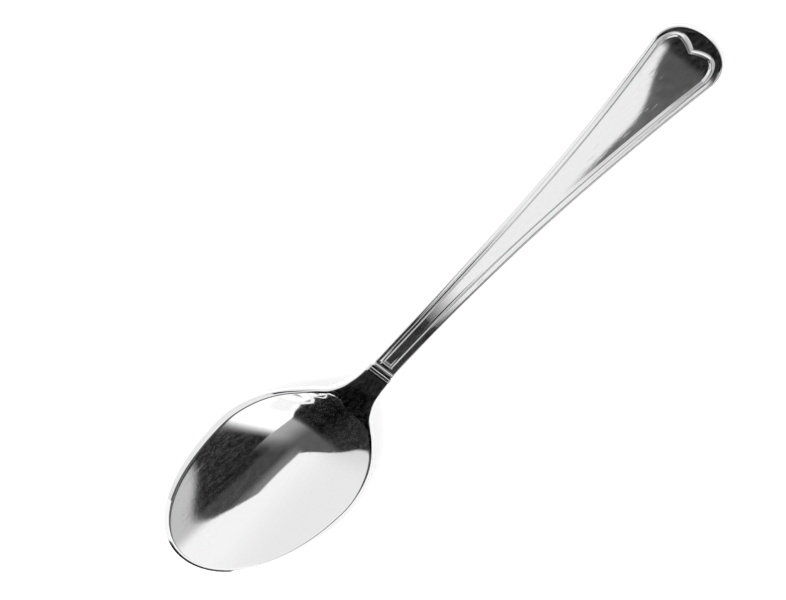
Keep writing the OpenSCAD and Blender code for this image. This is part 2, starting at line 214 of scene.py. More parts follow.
# Places and half lengths of the collar's beads and groove, as shares of its length
SMALL_BEAD = (0.24, 0.13)
GROOVE = (0.5, 0.2)
BEAD = (0.75, 0.17)

# Half width of the thread with its two grooves, as a share of its own half width
THREAD_REACH_SHARE = 1.2
# Fine groove each side of it, as shares of the thread's half width and of its height
FINE_GROOVE_WIDTH = 0.2
FINE_GROOVE_DEPTH = 0.3
BAR_SHARE = 0.3
BAR_HALF_SHARE = 0.36
# End of the finer rows round the bar, past its middle, in half widths of the bar
BAR_ROWS_END = 3
LOBE_TURN_SHARE = 0.69

QUARTER = math.pi / 2
# Gaps over which slopes and normals are taken: a share of the length, a length, and two turns
SLOPE_GAP_SHARE = 0.0005
GAP = 0.02 * MM
SIDE_TURN_GAP = math.radians(0.25)
TURN_GAP = math.radians(0.1)
# Largest square of the side's slope that stretches a section, and largest power in the fillets' S curve
SLOPE_LIMIT = 2.0
FADE_LIMIT = 60
NEAR_ZERO = 1e-9
SHORTEST = 1e-12

# Grid steps in an edge's arc, in a plain face, and in the panel, thread and land of a threaded face
EDGE_STEPS = 10
PLAIN_STEPS = 44
THREAD_STEPS = (26, 22, 5)
# Grid rows in each region, from the tip to the end
TIP_ROWS = 96
BACK_ROWS = 90
NECK_ROWS = 60
COLLAR_ROWS = 112
BAR_ROWS = 49
STEM_ROWS = 109
HANDLE_ROWS = 150
END_ROWS = 110


def ramp(x, a, b):
    """A step from 0 at a to 1 at b: t cubed times (10 - 15 t + 6 t squared)."""
    t = np.clip((x - a) / (b - a), 0.0, 1.0)
    return t ** 3 * (10 - 15 * t + 6 * t * t)


def mix(a, b, t):
    """The straight blend from a to b at t."""
    return a + (b - a) * t


def bump(t):
    """A rounded bump of height 1 at 0: (1 - t squared) squared, and 0 past 1."""
    return np.where(np.abs(t) >= 1, 0.0, (1 - t * t) ** 2)


class Blank:
    """Outline and heights of the spoon as functions of the place x along it."""

    def __init__(self, sizes):
        for name in SpoonSizes.__annotations__:
            setattr(self, name, getattr(sizes, name))
        bowl_len = self.bowl_tip_len + self.bowl_neck_len
        self.fillet_at = bowl_len - FILLET_BACK
        self.neck_plane = bowl_len - PLANE_BACK
        self.thicken_at = bowl_len - THICKEN_BACK
        self.rim_climb_at = bowl_len + CLIMB_ON
        self.neck_at = bowl_len + THICK_ON
        self.collar_at = bowl_len + self.neck_len
        self.stem_at = self.collar_at + self.collar_len
        self.end_at = self.spoon_len - self.end_len
        self.handle_at = mix(self.stem_at, self.end_at, STEM_SHARE)
        self.lean_at = mix(self.stem_at, self.end_at, LEAN_SHARE)
        self.bar_at = self.stem_at + self.thread_inset * BAR_SHARE
        self.bar_half = self.thread_w * BAR_HALF_SHARE
        self.thread_reach = self.thread_w / 2 * THREAD_REACH_SHARE
        self.end_h = self.handle_thick - self.rest_cut - self.handle_line(self.end_at)

    def bowl_half(self, x):
        """Half width of the bowl: a stretched ellipse whose length and exponent blend from front to back."""
        u = x - self.bowl_tip_len
        s = ramp(u, -ROUND_BLEND, ROUND_BLEND)
        xi = np.minimum(1.0, np.abs(u) / mix(self.bowl_tip_len, self.bowl_neck_len, s))
        return self.bowl_w / 2 * (1 - xi * xi) ** (1 / mix(TIP_ROUND, NECK_ROUND, s))

    def side_half(self, x):
        """Half width of the neck with its fillets, an S curve, blended into the handle's widening power curve."""
        fall = np.clip((x - self.fillet_at) / self.fillet_fade, -FADE_LIMIT, FADE_LIMIT)
        neck = self.neck_w / 2 + self.fillet_w / 2 / (1 + np.exp(fall))
        along = np.maximum(0.0, (x - self.stem_at) / (self.end_at - self.stem_at))
        handle = self.stem_w / 2 + (self.handle_w - self.stem_w) / 2 * along ** WIDEN_POWER
        start = self.collar_at + BEAD[0] * self.collar_len / 2
        place = (x - self.collar_at - BEAD[0] * self.collar_len) / (GROOVE[1] * self.collar_len)
        return mix(neck, handle, ramp(x, start, self.stem_at + self.bar_half)) - self.notch_d * bump(place)

    def half_w(self, x):
        """Half width of the spoon: the power mean of bowl and sides, closed by the rounded end."""
        x = np.asarray(x, float)
        start = self.bowl_tip_len + FILLET_SHARES[0] * self.bowl_neck_len
        full = self.bowl_tip_len + FILLET_SHARES[1] * self.bowl_neck_len
        side = self.side_half(x) * ramp(x, start, full) / MM
        joined = ((self.bowl_half(x) / MM) ** JOIN_POWER + side ** JOIN_POWER) ** (1 / JOIN_POWER) * MM
        e = np.clip((x - self.end_at) / self.end_len, 0.0, 1.0)
        return joined * np.sqrt(1 - e ** END_ROUND)

    def handle_line(self, x):
        """Height of the handle's upper face over its end: a straight rise, a parabolic sag and one sine wave."""
        u = (self.spoon_len - x) / (self.spoon_len - self.neck_at)
        sag = 4 * self.handle_sag * u * np.maximum(0.0, 1 - u)
        return self.handle_rise * u - sag + self.handle_wave * np.sin(2 * math.pi * u)

    def top_h(self, x):
        """Height of the upper edge: the soft minimum of the rim's power curve and the handle's line."""
        x = np.asarray(x, float)
        front = np.maximum(0.0, (self.bowl_tip_len - x) / self.bowl_tip_len)
        back = np.maximum(0.0, (x - self.bowl_tip_len) / (self.rim_climb_at - self.bowl_tip_len))
        a = self.rim_h - self.tip_drop * front ** RIM_POWER + self.neck_climb * back ** RIM_POWER
        b = self.end_h + self.handle_line(x)
        low = np.minimum(a, b)
        return low - LINE_BEND * np.log(np.exp((low - a) / LINE_BEND) + np.exp((low - b) / LINE_BEND))

    def hollow(self, x):
        """Share of the bowl's depth left at x: (1 - xi squared) to a power that grows towards the neck."""
        u = np.maximum(0.0, np.asarray(x, float) - self.bowl_tip_len)
        s = ramp(u, 0.0, HOLLOW_BLEND)
        xi = np.minimum(1.0, u / mix(HOLLOW_REACH, self.hollow_len, s))
        return (1 - xi * xi) ** mix(1.0, HOLLOW_END_POWER, s)

    def thickness(self, x, neck, handle):
        """A thickness that starts as the sheet, grows to the neck's and falls to the handle's."""
        grown = self.sheet + (neck - self.sheet) * ramp(x, self.thicken_at, self.neck_at)
        return grown + (handle - neck) * ramp(x, self.collar_at, self.lean_at)

    def side_h(self, x):
        """Height of the side edges."""
        return self.thickness(x, self.neck_side_h, self.handle_side_h)

    def floor_h(self, x):
        """Height of the middle line above."""
        return self.top_h(x) - (self.rim_h - self.sheet) * self.hollow(x)

    def under_h(self, x):
        """Height of the middle line below, before the rest flats are cut."""
        thick = self.thickness(x, self.neck_thick, self.handle_thick)
        return self.floor_h(x) - thick - self.rest_cut * self.hollow(x)

    def edge_radius(self, x):
        """Radius of the rounded edge."""
        return np.minimum(self.edge_r, EDGE_SHARE * self.side_h(x))

    def bevel(self, x):
        """The rim's edge: radii of its crest and outer edge, inset of its crest, and its drop to the wall."""
        plain, side = self.edge_radius(x), self.side_h(x)
        share = 1 - ramp(x, self.bowl_tip_len, self.bowl_tip_len + self.bowl_neck_len)
        crest = mix(plain, CREST_SHARE * side, share)
        outer = mix(plain, OUTER_SHARE * side, share)
        width = BEVEL_WIDTH_SHARE * side * share
        sin, cos = math.sin(BEVEL_TILT), math.cos(BEVEL_TILT)
        inset = outer * (1 - sin) + width * cos + crest * sin
        drop = crest * (1 - cos) + width * sin + outer * cos
        return crest, outer, inset, drop

    def side_way(self, x):
        """Direction across the spoon, stretched by the slope of its side."""
        d = self.spoon_len * SLOPE_GAP_SHARE
        slope = (self.half_w(x + d) - self.half_w(x - d)) / (2 * d)
        return np.stack([np.zeros_like(x), np.sqrt(1 + np.minimum(SLOPE_LIMIT, slope * slope))], -1)

    def collar_lift(self, x):
        """Height of the collar's two beads and groove, as three bumps."""
        s = (x - self.collar_at) / self.collar_len
        return (self.bead_h * bump((s - BEAD[0]) / BEAD[1])
                + self.small_bead_h * bump((s - SMALL_BEAD[0]) / SMALL_BEAD[1])
                - self.groove_d * bump((s - GROOVE[0]) / GROOVE[1]))


def spokes_along(blank, x):
    """Middle points, side points and directions out of the part for straight cross sections at x."""
    middle = np.stack([x, np.zeros_like(x)], -1)
    side = np.stack([x, blank.half_w(x)], -1)
    return middle, side, blank.side_way(x)


def spokes_round(blank, centre, sign, reach, turns):
    """The same for sections that turn round the tip or the end, with side points at the sine of each turn."""
    last = QUARTER - NEAR_ZERO

    def point(turn):
        x = centre + sign * reach * np.sin(turn)
        return np.stack([x, np.where(turn >= last, 0.0, blank.half_w(x))], -1)

    run = point(np.minimum(turns + SIDE_TURN_GAP, QUARTER)) - point(np.maximum(turns - SIDE_TURN_GAP, 0.0))
    way = np.stack([-run[:, 1] * sign, run[:, 0] * sign], -1)
    way = np.where((turns >= last)[:, None], np.array([sign, 0.0]), way)
    way /= np.linalg.norm(way, axis=1)[:, None]
    way[turns <= 0] = blank.side_way(np.array([centre]))[0]
    return np.repeat([[centre, 0.0]], len(turns), 0), point(turns), way


def rise(s):
    """A hyperbola from 0 in the middle to 1 at the edge, with k for the flatness:
    (sqrt(1 + (k s) squared) - 1) / (sqrt(1 + k squared) - 1)."""
    return (np.sqrt(1 + (WALL_FLATNESS * s) ** 2) - 1) / (math.sqrt(1 + WALL_FLATNESS ** 2) - 1)


def tilt(high, low, c, p, w, r):
    """Slope angle at the rim of a hyperbola that falls from high at the edge to low in the middle."""
    reach = ((p - c) * w).sum(-1) / np.linalg.norm(w, axis=-1) - r
    steep = WALL_FLATNESS ** 2 / (1 + WALL_FLATNESS ** 2 - math.sqrt(1 + WALL_FLATNESS ** 2))
    return np.arctan(steep * (high - low) / np.maximum(reach, NEAR_ZERO))


def arc(p, w, z, r, start, stop, steps):
    """A rounded edge: a quarter or so of a circle of radius r that touches the side point p."""
    t = np.linspace(0.0, 1.0, steps + 1)[None, :]
    a = mix(start[:, None], stop[:, None], t)
    q = p[:, None, :] - w[:, None, :] * (r[:, None] * (1 - np.cos(a)))[..., None]
    return np.concatenate([q, (z[:, None] + r[:, None] * np.sin(a))[..., None]], -1)


def underside(blank, c, p, w, steps):
    """The belly: a hyperbola from the edge's lower side to the middle line, cut flat at the table."""
    r = blank.edge_radius(p[:, 0])
    low = blank.under_h(c[:, 0])
    edge = blank.top_h(p[:, 0]) - blank.side_h(p[:, 0])
    a = tilt(edge, low, c, p, w, r)
    q = p - w * (r * (1 - np.sin(a)))[:, None]
    zq = edge + r - r * np.cos(a)
    s = np.linspace(1.0, 0.0, steps + 1)[None, 1:]
    m = c[:, None, :] + (q - c)[:, None, :] * s[..., None]
    z = np.maximum(0.0, mix(low[:, None], zq[:, None], rise(s)))
    return np.concatenate([m, z[..., None]], -1), a


def plain_top(blank, c, p, w, lift, steps):
    """The upper face without pattern: a hyperbola from the middle line up to the edge."""
    r, _, inset, _ = blank.bevel(p[:, 0])
    low = blank.floor_h(c[:, 0])
    a = tilt(blank.top_h(p[:, 0]), low, c, p, w, inset)
    q = p - w * (inset + r * np.sin(a))[:, None]
    zq = blank.top_h(p[:, 0]) - r + r * np.cos(a)
    s = np.linspace(0.0, 1.0, steps + 1)[None, :-1]
    m = c[:, None, :] + (q - c)[:, None, :] * s[..., None]
    z = mix(low[:, None], zq[:, None], rise(s)) + lift[:, None]
    return np.concatenate([m, z[..., None]], -1), a


def thread_profile(s):
    """Height share of the thread at a share s of its half width: a squared cosine less two fine grooves."""
    crest = np.where(np.abs(s) < 1, np.cos(s * QUARTER) ** 2, 0.0)
    return crest - FINE_GROOVE_DEPTH * bump((np.abs(s) - 1.0) / FINE_GROOVE_WIDTH)


def thread_top(blank, c, t, p, w, steps):
    """The upper face with the thread: a flat panel, the rounded thread between two fine grooves, and the land."""
    r = blank.edge_radius(p[:, 0])
    away = p - t
    away /= np.linalg.norm(away, axis=1)[:, None]
    inner = t - away * blank.thread_reach
    outer = t + away * blank.thread_reach
    q = p - w * r[:, None]
    a = np.linspace(0.0, 1.0, steps[0] + 1)[None, :-1, None]
    panel = mix(c[:, None, :], inner[:, None, :], a)
    s = np.linspace(-THREAD_REACH_SHARE, THREAD_REACH_SHARE, steps[1] + 1)
    ridge = t[:, None, :] + away[:, None, :] * (blank.thread_w / 2 * s)[None, :, None]
    b = np.linspace(0.0, 1.0, steps[2] + 1)[None, 1:-1, None]
    land = mix(outer[:, None, :], q[:, None, :], b)
    grown = ramp(c[:, 0], blank.bar_at - blank.bar_half, blank.bar_at + blank.bar_half)[:, None]
    bar = (blank.thread_h * bump((c[:, 0] - blank.bar_at) / (2 * blank.bar_half)))[:, None]
    own = blank.thread_h * thread_profile(s)[None, :] * grown
    ridge_lift = np.where(s[None, :] <= 0, np.maximum(own, bar), own)
    plan = np.concatenate([panel, ridge, land], 1)
    lift = np.concatenate([np.repeat(bar, panel.shape[1], 1), ridge_lift, np.zeros(land.shape[:2])], 1)
    z = blank.top_h(plan[..., 0]) + lift
    return np.concatenate([plan, z[..., None]], -1)


def heart(blank, turns):
    """Middle of the thread round the end: a quarter oval to the lobe's top, then a cosine run to the notch."""
    start = np.array([blank.end_at, blank.half_w(blank.end_at) - blank.thread_inset])
    lobe = np.array([blank.spoon_len - blank.lobe_inset, blank.lobe_gap / 2])
    t = turns / QUARTER
    first = np.minimum(t / LOBE_TURN_SHARE, 1.0) * QUARTER
    last = np.maximum(0.0, (t - LOBE_TURN_SHARE) / (1 - LOBE_TURN_SHARE))
    notch_x = blank.spoon_len - blank.heart_notch_inset
    x = np.where(last > 0, mix(notch_x, lobe[0], np.cos(last * QUARTER)), mix(start[0], lobe[0], np.sin(first)))
    y = np.where(last > 0, mix(lobe[1], 0.0, last), mix(lobe[1], start[1], np.cos(first)))
    return np.stack([x, y], -1)


def rim_arcs(p, w, z, bevel, a):
    """The rim's edge: an arc from the tilt a over the crest to the bevel, and one from the bevel to the wall."""
    crest, outer, inset, drop = bevel
    turn = np.full(len(p), QUARTER - BEVEL_TILT)
    start = p - w * (inset - crest)[:, None]
    return np.concatenate([arc(start, w, z - crest, crest, QUARTER + a, turn + BEVEL_GAP, EDGE_STEPS),
                           arc(p, w, z - drop, outer, turn - BEVEL_GAP, 0 * turn, EDGE_STEPS)], 1)


def plain_sections(blank, spokes, lift):
    """Half sections of bowl, neck and collar, from the middle of the top to the middle of the underside."""
    c, p, w = spokes
    r = blank.edge_radius(p[:, 0])
    high = blank.top_h(p[:, 0])
    top, a = plain_top(blank, c, p, w, lift, PLAIN_STEPS)
    below, b = underside(blank, c, p, w, PLAIN_STEPS)
    over = rim_arcs(p, w, high + lift, blank.bevel(p[:, 0]), a)
    under = arc(p, w, high - blank.side_h(p[:, 0]) + r, r, 0 * b, b - QUARTER, 2 * EDGE_STEPS + 1)
    return np.concatenate([top, over, under, below], 1)


def thread_sections(blank, spokes, t, shift):
    """Half sections of stem and handle, the same way, with the pattern shifted in the upper face."""
    c, p, w = spokes
    r = blank.edge_radius(p[:, 0])
    off = np.array([0.0, shift])
    top = thread_top(blank, c + off, t + off, p, w, THREAD_STEPS)
    below, b = underside(blank, c, p, w, top.shape[1])
    zt = blank.top_h(p[:, 0]) - r
    zb = blank.top_h(p[:, 0]) - blank.side_h(p[:, 0]) + r
    none = np.zeros(len(p))
    return np.concatenate([top, arc(p, w, zt, r, none + QUARTER, none, EDGE_STEPS),
                           arc(p, w, zb, r, none, b - QUARTER, EDGE_STEPS), below], 1)


def looped(half, other):
    """Whole loops: half sections on the +Y side, then the mirror images of others on the way back."""
    back = other[:, -2:0:-1] * np.array([1.0, -1.0, 1.0])
    return np.concatenate([half, back], 1)


def plain_loops(blank, spokes, lift):
    """Loops of bowl, neck and collar, the same on both sides."""
    half = plain_sections(blank, spokes, lift)
    return looped(half, half)


def thread_loops(blank, spokes, t):
    """Loops of stem and handle, with the pattern off the middle."""
    shift = blank.pattern_shift
    return looped(thread_sections(blank, spokes, t, shift), thread_sections(blank, spokes, t, -shift))


def rows_along(blank, x, threaded):
    """Loops at the places x."""
    spokes = spokes_along(blank, x)
    if threaded:
        return thread_loops(blank, spokes, np.stack([x, blank.half_w(x) - blank.thread_inset], -1))
    return plain_loops(blank, spokes, blank.collar_lift(x))


def rows_round_tip(blank, turns):
    """Loops round the bowl's tip."""
    spokes = spokes_round(blank, blank.bowl_tip_len, -1, blank.bowl_tip_len, turns)
    return plain_loops(blank, spokes, np.zeros(len(turns)))


def rows_round_end(blank, turns):
    """Loops round the handle's end."""
    spokes = spokes_round(blank, blank.end_at, 1, blank.end_len, turns)
    return thread_loops(blank, spokes, heart(blank, turns))


def other_side(loops):
    """The loops with their two sides changed over, as they go on past the fold at the tip or the end."""
    return np.roll(loops[:, ::-1], 1, 1)


def unit(v):
    """Vectors brought to length 1."""
    return v / np.maximum(np.linalg.norm(v, axis=-1, keepdims=True), SHORTEST)


def grid_normals(before, here, after):
    """Normals of loops from the cross product of the step along the spoon and the step round the section."""
    along = after - before
    across = np.roll(here, -1, 1) - np.roll(here, 1, 1)
    return unit(np.cross(along, across))


def grid_ids(rows, size, fan_end, fan_start):
    """Point numbers of a grid. On the two middle lines all the rows of a fan share one point. In its outermost
    row, the way back along the section takes the points of the way out."""
    half = size // 2
    row, col = np.meshgrid(np.arange(rows), np.arange(size), indexing="ij")
    low = 0 if fan_end is None else fan_end
    high = rows - 1 if fan_start is None else fan_start
    ids = np.where(col % half == 0, np.clip(row, low, high), row) * size + col
    for edge, fan in ((0, fan_end), (-1, fan_start)):
        if fan is not None:
            ids[edge, half + 1:] = ids[edge, half - 1:0:-1]
    return ids


def cap_quads(row, size):
    """Quads that close a straight section, between its upper and its lower line on both sides."""
    half = size // 2
    k = np.arange(half // 2)
    right = np.stack([k, half - k, half - k - 1, k + 1], -1)
    left = (size - np.stack([k, k + 1, half - k - 1, half - k], -1)) % size
    return row * size + np.concatenate([right, left])


def grid_triangles(rows, size, fan_end, fan_start):
    """Triangles of the closed grid, and for each one -1 or 1 in the low or high cap and 0 elsewhere."""
    ids = grid_ids(rows, size, fan_end, fan_start)
    round_ids = np.roll(ids, -1, 1)
    faces = [(np.stack([ids[:-1], ids[1:], round_ids[1:], round_ids[:-1]], -1).reshape(-1, 4), 0)]
    if fan_end is None:
        faces.append((cap_quads(0, size)[:, ::-1], -1))
    if fan_start is None:
        faces.append((cap_quads(rows - 1, size), 1))
    tris = np.concatenate([quads[:, corners] for quads, _ in faces for corners in ([0, 1, 2], [0, 2, 3])])
    kinds = np.concatenate([np.full(2 * len(quads), kind) for quads, kind in faces])
    good = np.all(tris != np.roll(tris, 1, 1), 1)
    return tris[good], kinds[good]


def add_object(name, data):
    """A new object in the scene."""
    made = bpy.data.objects.new(name, data)
    bpy.context.scene.collection.objects.link(made)
    return made


def shaded_mesh(name, points, tris, corner_normals):
    """A mesh of triangles with a normal of its own for each corner."""
    mesh = bpy.data.meshes.new(name)
    mesh.vertices.add(len(points))
    mesh.vertices.foreach_set("co", points.astype(np.float32).ravel())
    mesh.loops.add(tris.size)
    mesh.loops.foreach_set("vertex_index", tris.ravel().astype(np.int32))
    mesh.polygons.add(len(tris))
    mesh.polygons.foreach_set("loop_start", np.arange(0, tris.size, 3, dtype=np.int32))
    mesh.polygons.foreach_set("use_smooth", np.ones(len(tris), bool))
    mesh.update(calc_edges=True)
    mesh.validate()
    mesh.normals_split_custom_set(corner_normals.reshape(-1, 3))
    return mesh


def skin(name, loops, before, after, fan_end=None, fan_start=None):
    """A closed surface through loops. The rows up to fan_end turn round a middle line at the low end, and those
    from fan_start on round one at the high end. before and after are the loops a small gap back and ahead."""
    rows, size = loops.shape[:2]
    tris, kinds = grid_triangles(rows, size, fan_end, fan_start)
    normals = grid_normals(before, loops, after).reshape(-1, 3)
    if fan_end is not None:
        normals[fan_end * size] = (0, 0, 1)
    for fan in (fan_end, fan_start):
        if fan is not None:
            normals[fan * size + size // 2] = (0, 0, -1)
    used, tris = np.unique(tris, return_inverse=True)
    tris = tris.reshape(-1, 3)
    corner_normals = normals[used][tris]
    for kind in (-1, 1):
        corner_normals[kinds == kind] = (kind, 0, 0)
    points = loops.reshape(-1, 3)[used] - np.array([SPOON_LEN / 2, 0.0, 0.0])
    return add_object(name, shaded_mesh(name, points, tris, corner_normals))


def settle(piece, node):
    """Puts a finished piece in the place of its CAD node."""
    piece.data.materials.append(polished_steel())
    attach(piece, BODY)
    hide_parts(node)


def shape_rows(blank, section, places, gap, low, high):
    """Sections at the places, and the same a small gap back and ahead, kept within low and high."""
    back = np.maximum(places - gap, low)
    ahead = np.minimum(places + gap, high)
    return section(blank, places), section(blank, back), section(blank, ahead)


def straight(blank, places, threaded):
    """Sections along a straight region, with their neighbours."""
    def section(shape, x):
        return rows_along(shape, x, threaded)
    return shape_rows(blank, section, places, GAP, -math.inf, math.inf)


def joined(first, second):
    """Two runs of sections with their neighbours, one after the other."""
    return tuple(np.concatenate(pair) for pair in zip(first, second))


def turned_tip(blank, count):
    """Sections round the bowl's tip from the tip itself to the widest place. They run backwards in turn."""
    turns = np.linspace(QUARTER, 0.0, count + 1)
    here, behind, ahead = shape_rows(blank, rows_round_tip, turns, TURN_GAP, 0.0, QUARTER)
    ahead[:1] = other_side(behind[:1])
    return here, ahead, behind


def turned_end(blank, count):
    """Sections round the handle's end, past its first place."""
    turns = np.linspace(0.0, QUARTER, count + 1)[1:]
    here, behind, ahead = shape_rows(blank, rows_round_end, turns, TURN_GAP, 0.0, QUARTER)
    ahead[-1:] = other_side(behind[-1:])
    return here, behind, ahead


class Field:
    """A number that varies over a surface or the sky. A sum with it adds a node to its tree."""

    def __init__(self, socket):
        self.socket = socket
        self.tree = socket.id_data

    def maths(self, operation, *others):
        """One sum of the field and the others."""
        made = add_node(self.tree, "ShaderNodeMath", self, *others)
        made.operation = operation
        return Field(made.outputs["Value"])

    def __add__(self, other):
        return self.maths("ADD", other)

    def __sub__(self, other):
        return self.maths("SUBTRACT", other)

    def __mul__(self, other):
        return self.maths("MULTIPLY", other)

    def __truediv__(self, other):
        return self.maths("DIVIDE", other)

    def __pow__(self, power):
        return self.maths("POWER", power)

    def __neg__(self):
        return self * -1.0

    def __rsub__(self, other):
        return -self + other

    __radd__ = __add__
    __rmul__ = __mul__


def feed(value, socket):
    """Links a field or an output to a socket, or sets the socket to a plain value."""
    if isinstance(value, Field):
        value = value.socket
    if isinstance(value, bpy.types.NodeSocket):
        socket.id_data.links.new(value, socket)
    else:
        socket.default_value = value


def feed_inputs(node, values):
    """Feeds inputs of a node by name."""
    for name, value in values.items():
        feed(value, node.inputs[name])


def add_node(tree, kind, *values, **named):
    """A new node, with its first inputs fed in order and others by name."""
    made = tree.nodes.new(kind)
    for socket, value in zip(made.inputs, values):
        feed(value, socket)
    feed_inputs(made, named)
    return made


def parts(tree, vector):
    """The three parts of a vector, as fields."""
    return [Field(part) for part in add_node(tree, "ShaderNodeSeparateXYZ", vector).outputs]


def step(value, start, end, low=0.0, high=1.0):
    """A smooth step that is low before start and high past end. Start may be above end."""
    made = add_node(value.tree, "ShaderNodeMapRange", value, start, end, low, high)
    made.interpolation_type = "SMOOTHSTEP"
    return Field(made.outputs["Result"])


def past(value, start, power=1.0):
    """How far a field is past start, to a power, and 0 before it."""
    return (value - start).maths("MAXIMUM", 0.0) ** power


def mixed(share, first, second):
    """The first value at share 0 and the second at share 1."""
    return share * second + (1.0 - share) * first


def shade(light, depth, *masks):
    """The light, taken down by depth where all the masks are one."""
    return light * (1.0 - depth * math.prod(masks[1:], start=masks[0]))


def shades(light, x, y, rows):
    """The light under several shades, each with its depth and where it sets in along X and along Y."""
    for depth, along_x, along_y in rows:
        light = shade(light, depth, step(x, *along_x), step(y, *along_y))
    return light


def noise(tree, scale, stretch=1.0, turn=0.0, detail=2.0):
    """Noise on the object's own coordinates, turned about Z by degrees and stretched along X."""
    place = add_node(tree, "ShaderNodeTexCoord").outputs["Object"]
    mapping = add_node(tree, "ShaderNodeMapping", place, Rotation=(0.0, 0.0, math.radians(turn)),
                       Scale=(1.0 / stretch, 1.0, 1.0))
    texture = add_node(tree, "ShaderNodeTexNoise", mapping.outputs["Vector"], Scale=scale, Detail=detail)
    return Field(texture.outputs["Fac"])


# Runs of the steel's marks: stretch, turn in degrees, and detail
GRAIN_RUN = (3.0, 30.0, 3.0)
PATCH_RUN = (1.6, 15.0, 4.0)
HAZE_RUN = (2.2, 35.0, 4.0)
HAIRLINE_RUN = (24.0, 24.0)
CROSSING_RUN = (20.0, -37.0)
CROSSING_SCALE = 1.3
# Part of each noise's range over which its marks set in
HAIRLINE_RANGE = (0.66, 0.76)
PATCH_RANGE = (0.35, 0.7)
HAZE_RANGE = (0.36, 0.66)
LEAST_HAZE = 0.1
HAZE_IOR = 1.55


def steel_nodes(tree, look):
    """The finish of use-worn polished steel: grain, crossing hairlines, duller patches and a mottled haze.

    The roughness is the polish's plus what each mark adds, and the relief is the grain less the hairlines."""
    grain = noise(tree, look.grain_scale, *GRAIN_RUN)
    hairlines = step(noise(tree, look.scratch_scale, *HAIRLINE_RUN), *HAIRLINE_RANGE)
    crossing = step(noise(tree, look.scratch_scale * CROSSING_SCALE, *CROSSING_RUN), *HAIRLINE_RANGE)
    hairlines = hairlines.maths("MAXIMUM", crossing)
    patches = step(noise(tree, look.patch_scale, *PATCH_RUN), *PATCH_RANGE)
    rough = (grain * look.grain_dullness + hairlines * look.scratch_dullness + patches * look.patch_dullness
             + look.roughness)
    haze = step(noise(tree, look.haze_scale, *HAZE_RUN), *HAZE_RANGE, look.haze * LEAST_HAZE, look.haze)
    height = grain * look.grain_depth - hairlines * look.scratch_depth
    relief = add_node(tree, "ShaderNodeBump", Distance=look.relief, Height=height)
    feed_inputs(tree.nodes["Principled BSDF"], {
        "Base Color": (*look.steel, 1.0), "Metallic": 1.0, "Roughness": rough, "Normal": relief.outputs["Normal"],
        "Coat Weight": haze, "Coat Roughness": look.haze_roughness, "Coat IOR": HAZE_IOR})


def polished_steel():
    """The one steel of the spoon, made on first use."""
    found = bpy.data.materials.get("polished_steel_finish")
    if found:
        return found
    material = bpy.data.materials.new("polished_steel_finish")
    material.use_nodes = True
    steel_nodes(material.node_tree, bpy.context.scene.teaspoon_look)
    return material


class TEASPOON_OT_bowl(bpy.types.Operator):
    """Bowl with its rounded rim, from the tip to the neck."""

    bl_idname = "teaspoon.bowl"
    bl_label = "Bowl"

    def execute(self, context):
        blank = Blank(context.scene.teaspoon_sizes)
        places = np.linspace(blank.bowl_tip_len, blank.neck_plane, BACK_ROWS + 1)[1:]
        rows = joined(turned_tip(blank, TIP_ROWS), straight(blank, places, False))
        settle(skin("spoon_bowl", *rows, fan_end=TIP_ROWS), "bowl")
        return {"FINISHED"}


class TEASPOON_OT_neck(bpy.types.Operator):
    """Neck with its two fillets."""

    bl_idname = "teaspoon.neck"
    bl_label = "Neck"

    def execute(self, context):
        blank = Blank(context.scene.teaspoon_sizes)
        places = np.linspace(blank.neck_plane, blank.collar_at, NECK_ROWS + 1)
        settle(skin("spoon_neck", *straight(blank, places, False)), "neck")
        return {"FINISHED"}


class TEASPOON_OT_collar(bpy.types.Operator):
    """Collar with its small bead, groove and large bead."""

    bl_idname = "teaspoon.collar"
    bl_label = "Collar"

    def execute(self, context):
        blank = Blank(context.scene.teaspoon_sizes)
        places = np.linspace(blank.collar_at, blank.stem_at, COLLAR_ROWS + 1)
        settle(skin("spoon_collar", *straight(blank, places, False)), "collar")
        return {"FINISHED"}


class TEASPOON_OT_stem(bpy.types.Operator):
    """Stem with the cross bar and the two threads."""

    bl_idname = "teaspoon.stem"
    bl_label = "Stem"

    def execute(self, context):
        blank = Blank(context.scene.teaspoon_sizes)
        bar_end = blank.bar_at + BAR_ROWS_END * blank.bar_half
        places = np.concatenate([np.linspace(blank.stem_at, bar_end, BAR_ROWS + 1)[:-1],
                                 np.linspace(bar_end, blank.handle_at, STEM_ROWS + 1)])
        settle(skin("spoon_stem", *straight(blank, places, True)), "stem")
        return {"FINISHED"}


class TEASPOON_OT_handle(bpy.types.Operator):
    """Widening handle, whose threads close in a heart."""

    bl_idname = "teaspoon.handle"
    bl_label = "Handle"

    def execute(self, context):
        blank = Blank(context.scene.teaspoon_sizes)
        places = np.linspace(blank.handle_at, blank.end_at, HANDLE_ROWS + 1)
        rows = joined(straight(blank, places, True), turned_end(blank, END_ROWS))
        settle(skin("spoon_handle", *rows, fan_start=HANDLE_ROWS), "handle")
        return {"FINISHED"}


def camera_frame(stage):
    """Directions back to the camera, right and up in the picture, as unit vectors."""
    lean, turn, roll = stage.camera_lean, stage.camera_turn, stage.camera_roll
    back = Vector((math.sin(lean) * math.cos(turn), math.sin(lean) * math.sin(turn), math.cos(lean)))
    up = Vector((-math.cos(lean) * math.cos(turn), -math.cos(lean) * math.sin(turn), math.sin(lean)))
    right = up.cross(back)
    return back, math.cos(roll) * right + math.sin(roll) * up, -math.sin(roll) * right + math.cos(roll) * up


